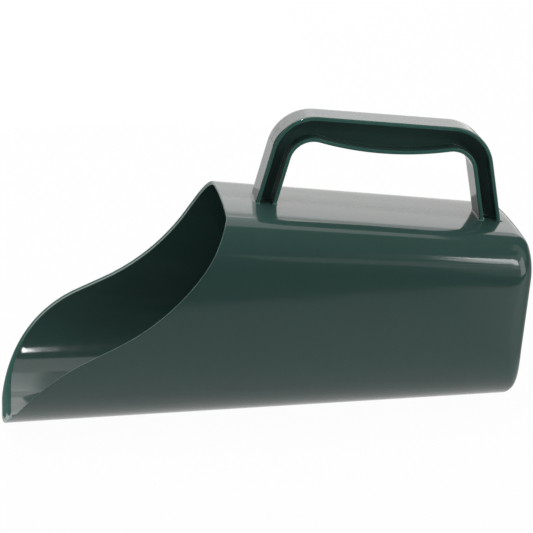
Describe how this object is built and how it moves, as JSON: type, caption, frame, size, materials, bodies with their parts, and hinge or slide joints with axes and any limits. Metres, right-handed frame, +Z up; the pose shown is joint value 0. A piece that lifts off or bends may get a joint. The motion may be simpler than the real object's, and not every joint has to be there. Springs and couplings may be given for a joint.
{
  "type": "feed scoop",
  "caption": "Moulded plastic feed scoop: a round-bottomed tapering bowl with an S-shaped mouth, a closed rear wall and a loop handle of I-section on top.",
  "frame": {"origin": "centre of the bounding box in X and Y, on the surface that the scoop rests on", "axes": "+X from the lip to the rear wall, +Y across to the scoop's left side seen from the rear wall, +Z up towards the handle"},
  "size_m": [0.3106, 0.1194, 0.1754],
  "materials": {
    "green_plastic": "glossy, lightly scuffed"
  },
  "bodies": {
    "root": {"bowl": "green_plastic", "rear_wall": "green_plastic", "handle_web": "green_plastic", "handle_outer_flange": "green_plastic", "handle_inner_flange": "green_plastic"}
  },
  "joints": []
}
